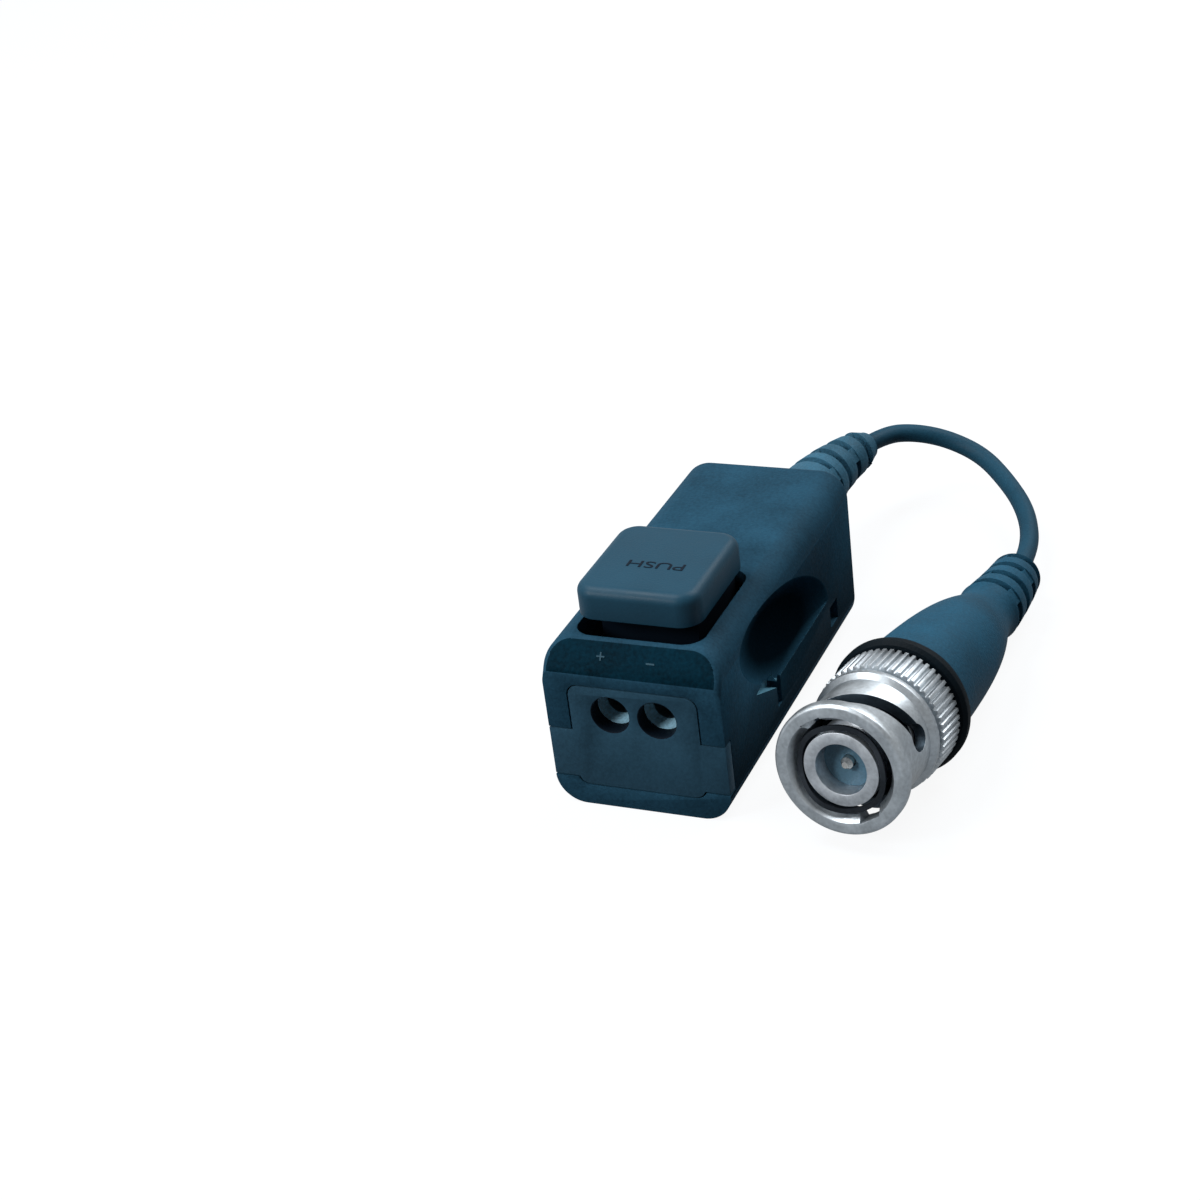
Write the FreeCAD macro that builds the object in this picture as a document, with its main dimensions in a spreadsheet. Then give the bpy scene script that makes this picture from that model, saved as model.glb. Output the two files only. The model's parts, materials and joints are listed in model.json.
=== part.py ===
import FreeCAD, Part
import Sketcher
import math
import os

# A passive video balun: a plastic housing with two push-release wire clamps at the front,
# a thin coaxial lead out of its rear, and a bayonet video plug on the end of that lead.
# +X is the right as seen from the front, +Y runs from the front panel to the rear, +Z is up.
# The origin is the middle of the housing's underside. Lengths are in millimetres.

SIZES = {
    # Housing
    "body_width": 20.0,
    "body_length": 44.5,
    "body_height": 19.6,
    "section_round": 3.3,
    "rear_round": 1.6,
    "bevel_depth": 2.05,
    "bevel_fall": 3.4,
    "floor_wall": 1.5,
    "side_wall": 2.7,
    "rear_wall": 1.8,
    # Opening in the front for the panel
    "mouth_side": 2.6,
    "mouth_bottom": 2.4,
    "mouth_top": 14.9,
    "mouth_depth": 3.4,
    "mouth_round": 1.4,
    # Well in the roof for the button
    "well_side": 2.8,
    "well_front": 2.5,
    "well_length": 16.3,
    "well_depth": 4.4,
    "well_round": 2.3,
    # Finger hollows in the two sides, with the catch at each end of the rail below them
    "hollow_from_front": 20.0,
    "hollow_height": 12.0,
    "hollow_length_radius": 19.5,
    "hollow_height_radius": 7.1,
    "hollow_offset": 3.2,
    "hollow_depth": 1.6,
    "hollow_tilt": 18.0,
    "rail_top": 7.9,
    "catch_front": 15.7,
    "catch_front_length": 1.3,
    "catch_front_low": 4.6,
    "catch_rear": 34.3,
    "catch_rear_length": 2.6,
    "catch_rear_low": 4.0,
    "catch_rear_high": 6.6,
    "catch_depth": 1.2,
    "ramp_front": 9.8,
    "ramp_front_height": 9.7,
    "ramp_rear_height": 7.1,
    "ramp_rise": 1.7,
    "ramp_depth": 1.1,
    # Front panel
    "panel_thickness": 1.8,
    "panel_gap": 0.15,
    "entry_radius": 2.15,
    "entry_share": 0.265,
    "entry_height": 11.6,
    "ear_bottom": 3.4,
    "ear_top": 9.2,
    "ear_depth": 1.5,
    "peg_radius": 0.7,
    "peg_length": 1.8,
    "peg_side": 5.6,
    "peg_height": 5.2,
    "peg_gap": 0.05,
    # Terminal block
    "block_side_gap": 0.2,
    "block_rear": 19.6,
    "block_wall": 0.8,
    "block_face_thickness": 3.0,
    "block_face_bottom": 3.1,
    "block_face_top": 14.1,
    "deck_bottom": 14.2,
    "deck_thickness": 1.2,
    "block_floor": 1.0,
    "guide_radius": 1.1,
    "guide_land": 0.8,
    # Push button
    "button_side": 3.05,
    "button_front": 3.1,
    "button_length": 15.2,
    "button_round": 2.4,
    "button_lift": 1.55,
    "button_skirt": 3.6,
    "button_edge": 1.2,
    "button_travel": 1.8,
    "neck_inset": 1.6,
    "neck_front": 6.8,
    "neck_length": 11.2,
    "neck_wall": 1.2,
    "neck_gap": 0.15,
    "hook_length": 4.0,
    "hook_drop": 1.3,
    "hook_reach": 0.55,
    "yoke_front": 7.8,
    "yoke_thickness": 1.2,
    "yoke_inset": 1.7,
    "yoke_bar": 1.8,
    "window_width": 3.6,
    "jaw_gap": 0.2,
    # Wire contacts
    "contact_width": 3.2,
    "contact_thickness": 0.4,
    "contact_front": 6.4,
    "contact_rear": 11.8,
    "contact_underside": 11.9,
    "tail_width": 0.9,
    "tail_below_board": 0.9,
    # Return spring
    "spring_radius": 1.9,
    "spring_wire": 0.25,
    "spring_turns": 6.0,
    "spring_from_front": 14.8,
    "spring_peg_radius": 1.2,
    "spring_peg_height": 1.6,
    # Circuit board and what it carries
    "board_bottom": 4.0,
    "board_thickness": 1.0,
    "board_side_gap": 0.4,
    "board_front": 5.1,
    "board_rear_gap": 4.0,
    "board_post_radius": 1.1,
    "board_post_inset": 1.6,
    "core_from_front": 26.5,
    "core_outer": 5.1,
    "core_inner": 2.7,
    "core_height": 4.2,
    "core_lift": 0.7,
    "winding_gap": 0.02,
    "winding_skin": 0.25,
    "winding_wire": 0.55,
    "winding_turns": 9,
    "winding_angle": 140.0,
    "chip_row": 33.6,
    "chip_inset": 2.6,
    "suppressor_length": 3.6,
    "suppressor_width": 2.6,
    "suppressor_height": 1.7,
    "resistor_length": 2.0,
    "resistor_width": 1.25,
    "resistor_height": 0.6,
    # Strain relief at the rear of the housing
    "exit_height": 9.5,
    "relief_flange_radius": 4.6,
    "relief_flange": 1.4,
    "relief_neck_radius": 3.4,
    "relief_neck_gap": 0.05,
    "relief_root_radius": 5.3,
    "relief_base": 12.9,
    "relief_base_radius": 3.95,
    "relief_tip_radius": 2.35,
    "relief_ring": 1.9,
    "relief_slot": 1.5,
    "relief_rings": 4,
    "relief_lean": 2.5,
    "relief_bend": 19.5,
    "relief_nose_radius": 1.75,
    "lead_exit_run": 3.9,
    "lead_entry_run": 4.6,
    "relief_core_radius": 1.8,
    "relief_web_turn": -35.0,
    # Coaxial lead
    "cable_radius": 1.15,
    "cable_end_share": 0.33,
    "core_wire_radius": 0.3,
    "core_wire_side": 0.35,
    "shield_wire_radius": 0.4,
    "shield_wire_side": -0.55,
    "wire_straight_share": 0.09,
    "wire_bend": 2.0,
    # Plug: where it lies, then its turned pieces, measured along its axis from the mating end
    "plug_side": 22.85,
    "plug_front": -1.75,
    "plug_axis_height": 9.42,
    "plug_turn": 5.9,
    "plug_pitch": -6.1,
    "nut_radius": 7.25,
    "nut_length": 14.5,
    "rim_length": 1.5,
    "rim_round": 0.45,
    "nut_bore": 5.15,
    "nut_funnel": 5.85,
    "nut_funnel_depth": 1.2,
    "barrel_radius": 6.35,
    "barrel_end": 8.4,
    "collar_radius": 6.95,
    "collar_end": 9.5,
    "groove_radius": 6.5,
    "groove_end": 10.2,
    "knurl_radius": 7.15,
    "knurl_depth": 0.35,
    "knurl_ribs": 54,
    "cam_width": 2.1,
    "cam_start": 2.9,
    "cam_end": 6.2,
    "cam_sweep": 105.0,
    "cam_turn": 237.0,
    "cam_hole_radius": 1.45,
    "cam_channel_width": 2.5,
    "cam_channel_radius": 5.85,
    "sleeve_start": 0.3,
    "sleeve_radius": 4.1,
    "sleeve_bore": 2.8,
    "sleeve_length": 7.0,
    "sleeve_wall": 2.0,
    "stop_radius": 4.95,
    "stop_length": 1.8,
    "barrel_neck_radius": 4.2,
    "nut_running_gap": 0.06,
    "nut_float": 0.5,
    "nut_inner_flange": 1.6,
    "wave_height": 0.9,
    "wave_thickness": 0.25,
    "washer_inner": 4.4,
    "washer_outer": 4.95,
    "thrust_thickness": 0.5,
    "ring_thickness": 0.6,
    "ring_outer": 5.2,
    "ring_groove_radius": 3.85,
    "ring_side_gap": 0.05,
    "nut_counterbore": 5.5,
    "gasket_thickness": 0.7,
    "insulator_start": 2.4,
    "insulator_bore": 0.7,
    "pin_radius": 0.67,
    "pin_start": 1.3,
    "crimp_stub_radius": 2.2,
    "crimp_stub_bore": 0.75,
    "crimp_stub_length": 7.0,
    "ferrule_wall": 0.5,
    "boot_gap": 0.5,
    "boot_radius": 7.7,
    "boot_lip": 1.2,
    "boot_lip_groove": 0.7,
    "boot_root_radius": 6.7,
    "boot_belly": 10.0,
    "boot_belly_radius": 6.15,
    "boot_hip": 17.0,
    "boot_hip_radius": 5.35,
    "boot_fall": 21.2,
    "boot_fall_radius": 4.4,
    "boot_shoulder": 26.0,
    "boot_shoulder_radius": 3.5,
    "boot_flare": 0.9,
    "boot_bore": 3.1,
    "boot_base_radius": 3.7,
    "boot_tip_radius": 2.85,
    "boot_ring": 1.8,
    "boot_slot": 1.3,
    "boot_rings": 4,
    "boot_bend": -8.0,
}

# The lead's route lies in plan between the relief's tip and the boot's tip: each point is (x, y, z).
LEAD_ROUTE = [
    (8.0, 54.9, 8.6),
    (12.0, 56.2, 7.3),
    (16.7, 55.0, 5.9),
    (20.8, 50.7, 4.8),
    (24.4, 45.3, 4.1),
    (26.6, 39.6, 3.5),
]

doc = FreeCAD.newDocument("video_balun")
sheet = doc.addObject("Spreadsheet::Sheet", "Sizes")
for row, (alias, number) in enumerate(SIZES.items(), start=1):
    sheet.set("A%d" % row, alias)
    sheet.set("B%d" % row, str(number))
    sheet.setAlias("B%d" % row, alias)
doc.recompute()


class Size:
    """A length as both a number and the sheet expression that gives it."""

    def __init__(self, number, text):
        self.number = number
        self.text = text

    def __add__(self, other):
        other = as_size(other)
        return Size(self.number + other.number, "(%s + %s)" % (self.text, other.text))

    def __sub__(self, other):
        other = as_size(other)
        return Size(self.number - other.number, "(%s - %s)" % (self.text, other.text))

    def __mul__(self, factor):
        factor = as_size(factor)
        return Size(self.number * factor.number, "(%s * %s)" % (self.text, factor.text))

    def __truediv__(self, divisor):
        return Size(self.number / divisor, "(%s / %s)" % (self.text, divisor))

    def __neg__(self):
        return Size(-self.number, "(0 - %s)" % self.text)

    __radd__ = __add__

    def __rsub__(self, other):
        return as_size(other) - self


def as_size(value):
    return value if isinstance(value, Size) else Size(float(value), repr(float(value)))


class SheetSizes:
    """Reads a size from the sheet by its alias."""

    def __getattr__(self, alias):
        return Size(float(sheet.get(alias)), "Sizes.%s" % alias)


s = SheetSizes()
nodes = []


def node(name, thing):
    """Names a finished piece; its name is also its file's name."""
    thing.Label = name
    nodes.append(thing)
    return thing


def bind(thing, **lengths):
    for name, length in lengths.items():
        thing.setExpression(name, as_size(length).text)
    return thing


def place(thing, x=0, y=0, z=0):
    for axis, length in zip("xyz", (x, y, z)):
        thing.setExpression("Placement.Base." + axis, as_size(length).text)
    return thing


def box(name, x, y, z):
    """A block between two values on each axis."""
    block = doc.addObject("Part::Box", name)
    bind(block, Length=x[1] - as_size(x[0]), Width=y[1] - as_size(y[0]), Height=z[1] - as_size(z[0]))
    return place(block, x[0], y[0], z[0])


def rod(name, radius, start, length, along="z"):
    """A cylinder from a start point along an axis."""
    cylinder = doc.addObject("Part::Cylinder", name)
    turn = {"z": (0, 0, 1, 0), "y": (1, 0, 0, -90), "x": (0, 1, 0, 90)}[along]
    cylinder.Placement.Rotation = FreeCAD.Rotation(FreeCAD.Vector(*turn[:3]), turn[3])
    bind(cylinder, Radius=radius, Height=length)
    return place(cylinder, *start)


def fuse(name, *pieces):
    joined = doc.addObject("Part::MultiFuse", name)
    joined.Shapes = list(pieces)
    joined.Refine = True
    return joined


def cut(name, base, *tools):
    result = doc.addObject("Part::Cut", name)
    result.Base = base
    result.Tool = tools[0] if len(tools) == 1 else fuse(name + "_cutters", *tools)
    result.Refine = True
    return result


def feature(name, shape):
    """A piece whose form is worked out by formula from the sheet's sizes."""
    made = doc.addObject("Part::Feature", name)
    made.Shape = shape
    return made


# Sketch helpers

def body(name):
    return doc.addObject("PartDesign::Body", name)


def sketch_on(owner, name, plane, offset=0):
    sketch = owner.newObject("Sketcher::SketchObject", name)
    support = [plane_feature for plane_feature in owner.Origin.OriginFeatures
               if plane_feature.Role == plane + "_Plane"]
    sketch.AttachmentSupport = (support[0], [""])
    sketch.MapMode = "FlatFace"
    sketch.setExpression("AttachmentOffset.Base.z", as_size(offset).text)
    return sketch


def arc_between(start, end, radius):
    """The short arc from start to end; a positive radius has its centre on the left of the way."""
    chord = (end[0] - start[0], end[1] - start[1])
    span = math.hypot(*chord)
    rise = math.sqrt(radius * radius - span * span / 4) * (1 if radius > 0 else -1)
    centre = ((start[0] + end[0]) / 2 - chord[1] / span * rise,
              (start[1] + end[1]) / 2 + chord[0] / span * rise)
    first, last = (start, end) if radius > 0 else (end, start)
    angles = [math.atan2(point[1] - centre[1], point[0] - centre[0]) for point in (first, last)]
    if angles[1] < angles[0]:
        angles[1] += 2 * math.pi
    circle = Part.Circle(FreeCAD.Vector(*centre, 0), FreeCAD.Vector(0, 0, 1), abs(radius))
    return Part.ArcOfCircle(circle, *angles)


def draw(sketch, corners):
    """A closed outline. Each corner is (u, v), or (u, v, radius) where an arc leaves it."""
    first_edge = sketch.GeometryCount
    count = len(corners)
    points = [(as_size(corner[0]), as_size(corner[1])) for corner in corners]
    ends = []
    for index, corner in enumerate(corners):
        start = [length.number for length in points[index]]
        end = [length.number for length in points[(index + 1) % count]]
        if len(corner) == 2:
            sketch.addGeometry(Part.LineSegment(FreeCAD.Vector(*start, 0), FreeCAD.Vector(*end, 0)))
            ends.append((1, 2))
        else:
            radius = as_size(corner[2])
            sketch.addGeometry(arc_between(start, end, radius.number))
            ends.append((1, 2) if radius.number > 0 else (2, 1))
    for index, corner in enumerate(corners):
        edge = first_edge + index
        before = (index - 1) % count
        sketch.addConstraint(Sketcher.Constraint(
            "Coincident", first_edge + before, ends[before][1], edge, ends[index][0]))
        for kind, length in zip(("DistanceX", "DistanceY"), points[index]):
            number = sketch.addConstraint(Sketcher.Constraint(
                kind, -1, 1, edge, ends[index][0], length.number))
            sketch.setExpression("Constraints[%d]" % number, length.text)
        if len(corner) == 3:
            radius = as_size(corner[2])
            size = radius if radius.number > 0 else -radius
            number = sketch.addConstraint(Sketcher.Constraint("Radius", edge, size.number))
            sketch.setExpression("Constraints[%d]" % number, size.text)


def rounded_rectangle(sketch, left, right, low, high, radius):
    draw(sketch, [(left + radius, low), (right - radius, low, radius), (right, low + radius),
                  (right, high - radius, radius), (right - radius, high), (left + radius, high, radius),
                  (left, high - radius), (left, low + radius, radius)])


def circle_in(sketch, u, v, radius):
    edge = sketch.addGeometry(Part.Circle(
        FreeCAD.Vector(u.number, v.number, 0), FreeCAD.Vector(0, 0, 1), radius.number))
    for constraint, length in ((("DistanceX", -1, 1, edge, 3, u.number), u),
                               (("DistanceY", -1, 1, edge, 3, v.number), v),
                               (("Radius", edge, radius.number), radius)):
        number = sketch.addConstraint(Sketcher.Constraint(*constraint))
        sketch.setExpression("Constraints[%d]" % number, length.text)


def extrude(owner, kind, sketch, length, reverse=False):
    """A Pad or a Pocket of one sketch."""
    made = owner.newObject("PartDesign::" + kind, sketch.Name + "_" + kind.lower())
    made.Profile = sketch
    made.Reversed = reverse
    bind(made, Length=length)
    sketch.Visibility = False
    return made


def turned(name, outline):
    """A body of revolution about its own Z axis; outline corners are (radius, height)."""
    owner = body(name)
    sketch = sketch_on(owner, name + "_profile", "XZ")
    draw(sketch, outline)
    spin = owner.newObject("PartDesign::Revolution", name + "_turning")
    spin.Profile = sketch
    spin.ReferenceAxis = (sketch, ["V_Axis"])
    spin.Angle = 360
    return owner


def edges_where(owner, test):
    """Names of the edges of a body's tip whose middle point passes a test."""
    doc.recompute()
    names = []
    for number, edge in enumerate(owner.Tip.Shape.Edges, start=1):
        middle = edge.valueAt((edge.FirstParameter + edge.LastParameter) / 2)
        if test(middle, edge):
            names.append("Edge%d" % number)
    return names


def round_edges(owner, name, radius, test):
    names = edges_where(owner, test)
    base = owner.Tip
    fillet = owner.newObject("PartDesign::Fillet", name)
    fillet.Base = (base, names)
    bind(fillet, Radius=radius)
    return fillet


# Heights and lengths that several pieces share

front = -s.body_length / 2
rear = s.body_length / 2
half_width = s.body_width / 2
mouth_half = half_width - s.mouth_side
well_half = half_width - s.well_side
button_half = half_width - s.button_side
roof = s.body_height
cavity_half = half_width - s.side_wall
roof_underside = roof - s.floor_wall
block_front = front + s.panel_thickness + s.panel_gap / 2
block_end = front + s.block_rear
board_top = s.board_bottom + s.board_thickness
deck_top = s.deck_bottom + s.deck_thickness
entry_side = half_width * s.entry_share
block_half = cavity_half - s.block_side_gap
board_half = cavity_half - s.board_side_gap
board_rear = rear - s.board_rear_gap
chip_side = board_half - s.chip_inset
neck_half = block_half - s.neck_inset
yoke_half = block_half - s.yoke_inset
skirt_bottom = roof + s.button_lift
floor_of_block = board_top + s.block_floor
spring_y = front + s.spring_from_front


def near(value, target, slack=0.01):
    return abs(value - target) < slack


# Housing shell

def housing_shell():
    shell = body("shell_body")
    section = sketch_on(shell, "shell_section", "XZ", -rear)
    rounded_rectangle(section, -half_width, half_width, as_size(0), roof, s.section_round)
    extrude(shell, "Pad", section, s.body_length)

    bevel = sketch_on(shell, "front_bevel", "YZ", -s.body_width)
    draw(bevel, [(front - 1, roof - s.bevel_fall - s.bevel_fall / s.bevel_depth.number),
                 (front + s.bevel_depth, roof), (front + s.bevel_depth, roof + 1),
                 (front - 1, roof + 1)])
    extrude(shell, "Pocket", bevel, s.body_width * 2, reverse=True)

    round_edges(shell, "rear_rounding", s.rear_round, lambda middle, edge: near(middle.y, rear.number))
    round_edges(shell, "bevel_rounding", s.rear_round / 2, lambda middle, edge: (
        near(middle.y, (front + s.bevel_depth).number) and near(middle.z, roof.number)))

    cavity = sketch_on(shell, "cavity", "XZ", -(front + s.mouth_depth))
    rounded_rectangle(cavity, -cavity_half, cavity_half, s.floor_wall, roof_underside, s.mouth_round)
    extrude(shell, "Pocket", cavity, s.body_length - s.mouth_depth - s.rear_wall)

    mouth = sketch_on(shell, "mouth", "XZ", -front)
    rounded_rectangle(mouth, -mouth_half, mouth_half, s.mouth_bottom, s.mouth_top, s.mouth_round)
    extrude(shell, "Pocket", mouth, s.mouth_depth + 0.01)

    ears = sketch_on(shell, "ear_notches", "XZ", -front)
    for side in (-1, 1):
        inner, outer = mouth_half - s.panel_gap, half_width + s.ear_depth
        low, high = s.ear_bottom - s.panel_gap, s.ear_top + s.panel_gap
        draw(ears, [(inner * side, low), (outer * side, low), (outer * side, high), (inner * side, high)])
    extrude(shell, "Pocket", ears, s.ear_depth + s.panel_gap)

    well = sketch_on(shell, "button_well", "XY", roof)
    rounded_rectangle(well, -well_half, well_half, front + s.well_front,
                      front + s.well_front + s.well_length, s.well_round)
    extrude(shell, "Pocket", well, s.well_depth)

    hole = sketch_on(shell, "lead_hole", "XZ", -rear)
    circle_in(hole, as_size(0), s.exit_height, s.relief_neck_radius)
    extrude(shell, "Pocket", hole, s.rear_wall + 1, reverse=True)

    for side, name, inward in ((-1, "left", True), (1, "right", False)):
        catches = sketch_on(shell, "catches_" + name, "YZ", half_width * side)
        for start, length, low, high in (
                (s.catch_front, s.catch_front_length, s.catch_front_low, s.rail_top),
                (s.catch_rear, s.catch_rear_length, s.catch_rear_low, s.catch_rear_high)):
            near_end, far_end = front + start, front + start + length
            draw(catches, [(near_end, low), (far_end, low), (far_end, high), (near_end, high)])
        extrude(shell, "Pocket", catches, s.catch_depth, reverse=inward)
        ramp = sketch_on(shell, "ramp_" + name, "YZ", half_width * side)
        near_end, far_end = front + s.ramp_front, front + s.catch_front
        draw(ramp, [(near_end, s.ramp_front_height), (far_end, s.ramp_rear_height),
                    (far_end, s.ramp_rear_height + s.ramp_rise), (near_end + s.ramp_rise, s.ramp_front_height + 0.4)])
        extrude(shell, "Pocket", ramp, s.ramp_depth, reverse=inward)

    posts = sketch_on(shell, "board_posts", "XY", s.floor_wall)
    for side in (-1, 1):
        for along in (front + s.board_front + s.board_post_inset, board_rear - s.board_post_inset):
            circle_in(posts, (board_half - s.board_post_inset) * side, along, s.board_post_radius)
    extrude(shell, "Pad", posts, s.board_bottom - s.floor_wall)

    hollows = []
    for side, name in ((-1, "left"), (1, "right")):
        bowl = doc.addObject("Part::Ellipsoid", "hollow_bowl_" + name)
        bowl.Placement.Rotation = FreeCAD.Rotation(FreeCAD.Vector(1, 0, 0), -s.hollow_tilt.number)
        bind(bowl, Radius1=s.hollow_height_radius, Radius2=s.hollow_offset + s.hollow_depth,
             Radius3=s.hollow_length_radius)
        place(bowl, (half_width + s.hollow_offset) * side, front + s.hollow_from_front, s.hollow_height)
        below = box("below_rail_" + name, (-s.body_width, s.body_width), (front, rear), (-s.rail_top, s.rail_top))
        hollows.append(cut("finger_hollow_" + name, bowl, below))
    return cut("shell_with_hollows", shell, *hollows)


# Front panel

def front_panel():
    panel = body("panel_body")
    gap = s.panel_gap
    plate = sketch_on(panel, "panel_plate", "XZ", -front)
    rounded_rectangle(plate, -(mouth_half - gap), mouth_half - gap,
                      s.mouth_bottom + gap, s.mouth_top - gap, s.mouth_round - gap)
    extrude(panel, "Pad", plate, s.panel_thickness, reverse=True)
    ears = sketch_on(panel, "panel_ears", "XZ", -front)
    for side in (-1, 1):
        inner, outer = mouth_half - s.ear_depth, half_width
        draw(ears, [(inner * side, s.ear_bottom), (outer * side, s.ear_bottom),
                    (outer * side, s.ear_top), (inner * side, s.ear_top)])
    extrude(panel, "Pad", ears, s.ear_depth, reverse=True)
    holes = sketch_on(panel, "entry_holes", "XZ", -front)
    for side in (-1, 1):
        circle_in(holes, entry_side * side, s.entry_height, s.entry_radius)
    extrude(panel, "Pocket", holes, s.panel_thickness)
    pegs = sketch_on(panel, "panel_pegs", "XZ", -(front + s.panel_thickness))
    for side in (-1, 1):
        circle_in(pegs, s.peg_side * side, s.peg_height, s.peg_radius)
    extrude(panel, "Pad", pegs, s.peg_length, reverse=True)
    return panel


# Terminal block

def terminal_block():
    outer = block_half
    inner = outer - s.block_wall
    neck_front = front + s.neck_front
    neck_rear = neck_front + s.neck_length
    face_rear = block_front + s.block_face_thickness
    shell = box("block_walls", (-outer, outer), (face_rear, block_end), (board_top, deck_top))
    face = box("block_face", (-outer, outer), (block_front, face_rear),
               (s.block_face_bottom, s.block_face_top))
    hollow = box("block_hollow", (-inner, inner), (face_rear, block_end - s.block_wall),
                 (floor_of_block, s.deck_bottom))
    guide = box("neck_guide", (-neck_half - s.neck_gap, neck_half + s.neck_gap),
                (neck_front - s.neck_gap, neck_rear + s.neck_gap), (s.deck_bottom - 1, deck_top + 1))
    cutters = [hollow, guide]
    for side, name in ((-1, "left"), (1, "right")):
        funnel = doc.addObject("Part::Cone", "wire_funnel_" + name)
        funnel.Placement.Rotation = FreeCAD.Rotation(FreeCAD.Vector(1, 0, 0), -90)
        bind(funnel, Radius1=s.entry_radius, Radius2=s.guide_radius,
             Height=s.block_face_thickness - s.guide_land)
        place(funnel, entry_side * side, block_front, s.entry_height)
        hole = rod("wire_hole_" + name, s.guide_radius, (entry_side * side, block_front, s.entry_height),
                   s.block_face_thickness + 1, "y")
        tail_y = front + s.contact_rear
        slot = box("tail_slot_" + name,
                   (entry_side * side - s.contact_width / 2 - 0.1, entry_side * side + s.contact_width / 2 + 0.1),
                   (tail_y - s.contact_thickness - 0.1, tail_y + 0.1), (board_top - 1, floor_of_block + 1))
        peg_hole = rod("peg_hole_" + name, s.peg_radius + s.peg_gap, (s.peg_side * side, block_front, s.peg_height),
                       s.peg_length, "y")
        cutters += [funnel, hole, slot, peg_hole]
    peg = rod("spring_peg", s.spring_peg_radius, (0, spring_y, floor_of_block), s.spring_peg_height)
    return fuse("block_with_peg", cut("block_hollowed", fuse("block_solid", shell, face), *cutters), peg)


# Push button

def push_button():
    button = body("button_body")
    cap_front = front + s.button_front
    cap = sketch_on(button, "button_cap", "XY", skirt_bottom)
    rounded_rectangle(cap, -button_half, button_half, cap_front,
                      cap_front + s.button_length, s.button_round)
    extrude(button, "Pad", cap, s.button_skirt)
    cap_top = (skirt_bottom + s.button_skirt).number
    round_edges(button, "cap_edge", s.button_edge, lambda middle, edge: near(middle.z, cap_top))
    neck = sketch_on(button, "button_neck", "XY", s.deck_bottom)
    neck_front = front + s.neck_front
    draw(neck, [(-neck_half, neck_front), (neck_half, neck_front),
                (neck_half, neck_front + s.neck_length), (-neck_half, neck_front + s.neck_length)])
    extrude(button, "Pad", neck, skirt_bottom - s.deck_bottom + 0.1)
    hollow = sketch_on(button, "neck_hollow", "XY", s.deck_bottom)
    inner = neck_half - s.neck_wall
    draw(hollow, [(-inner, neck_front + s.neck_wall), (inner, neck_front + s.neck_wall),
                  (inner, neck_front + s.neck_length - s.neck_wall),
                  (-inner, neck_front + s.neck_length - s.neck_wall)])
    extrude(button, "Pocket", hollow, skirt_bottom - s.deck_bottom - 0.4, reverse=True)
    post = sketch_on(button, "spring_post", "XY", s.deck_bottom)
    circle_in(post, as_size(0), spring_y, s.spring_radius + s.spring_wire * 2)
    extrude(button, "Pad", post, skirt_bottom - s.deck_bottom)

    yoke = sketch_on(button, "yoke", "XZ", -(front + s.yoke_front))
    bar_top = s.contact_underside - s.jaw_gap
    low = bar_top - s.yoke_bar
    draw(yoke, [(-yoke_half, low), (yoke_half, low),
                (yoke_half, s.deck_bottom + 0.5), (-yoke_half, s.deck_bottom + 0.5)])
    extrude(button, "Pad", yoke, s.yoke_thickness, reverse=True)
    windows = sketch_on(button, "yoke_windows", "XZ", -(front + s.yoke_front))
    for side in (-1, 1):
        left, right = entry_side * side - s.window_width / 2, entry_side * side + s.window_width / 2
        draw(windows, [(left, bar_top), (right, bar_top), (right, s.deck_bottom), (left, s.deck_bottom)])
    extrude(button, "Pocket", windows, s.yoke_thickness)

    hooks = sketch_on(button, "snap_hooks", "XZ", -(spring_y - s.hook_length / 2))
    for side in (-1, 1):
        inside, outside = (neck_half - s.block_wall) * side, neck_half * side
        tip = (neck_half + s.hook_reach) * side
        draw(hooks, [(inside, s.deck_bottom - s.hook_drop), (outside, s.deck_bottom - s.hook_drop),
                     (tip, s.deck_bottom - 0.5), (tip, s.deck_bottom - 0.1),
                     (outside, s.deck_bottom - 0.1), (outside, s.deck_bottom + 0.5),
                     (inside, s.deck_bottom + 0.5)])
    extrude(button, "Pad", hooks, s.hook_length, reverse=True)
    return button


# Wire contacts: a flat blade over each jaw, bent down through the block's floor to the board

def wire_contact(side, name):
    x = entry_side * side
    bend_y = front + s.contact_rear
    top = s.contact_underside + s.contact_thickness
    half = s.contact_width / 2
    blade = box("blade_" + name, (x - half, x + half), (front + s.contact_front, bend_y),
                (s.contact_underside, top))
    drop = box("drop_" + name, (x - half, x + half), (bend_y - s.contact_thickness, bend_y),
               (board_top, top))
    tail = box("tail_" + name, (x - s.tail_width / 2, x + s.tail_width / 2),
               (bend_y - s.contact_thickness, bend_y), (s.board_bottom - s.tail_below_board, board_top))
    return fuse("contact_" + name, blade, drop, tail)


# Return spring: a coil between the block's floor and the button

def return_spring():
    wire_radius = s.spring_wire.number
    height = (s.deck_bottom - floor_of_block).number
    rise = height - 2 * wire_radius
    helix = Part.makeHelix(rise / s.spring_turns.number, rise, s.spring_radius.number)
    start = FreeCAD.Vector(s.spring_radius.number, 0, 0)
    circle = Part.Wire(Part.makeCircle(wire_radius, start, FreeCAD.Vector(0, 1, 0)))
    coil = Part.Wire(helix.Edges).makePipeShell([circle], True, True)
    spring = feature("spring_coil", coil)
    return place(spring, 0, spring_y, floor_of_block + s.spring_wire)


# Circuit board and the pieces on it

def circuit_board():
    board = box("board_blank", (-board_half, board_half),
                (front + s.board_front, board_rear), (s.board_bottom, board_top))
    holes = [rod("tail_hole_%d" % number, s.tail_width / 2 + 0.25,
                 (entry_side * side, front + s.contact_rear - s.contact_thickness / 2,
                  s.board_bottom - s.board_thickness),
                 s.board_thickness * 3) for number, side in enumerate((-1, 1))]
    return cut("board_drilled", board, *holes)


core_y = front + s.core_from_front
core_bottom = board_top + s.core_lift


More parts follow.
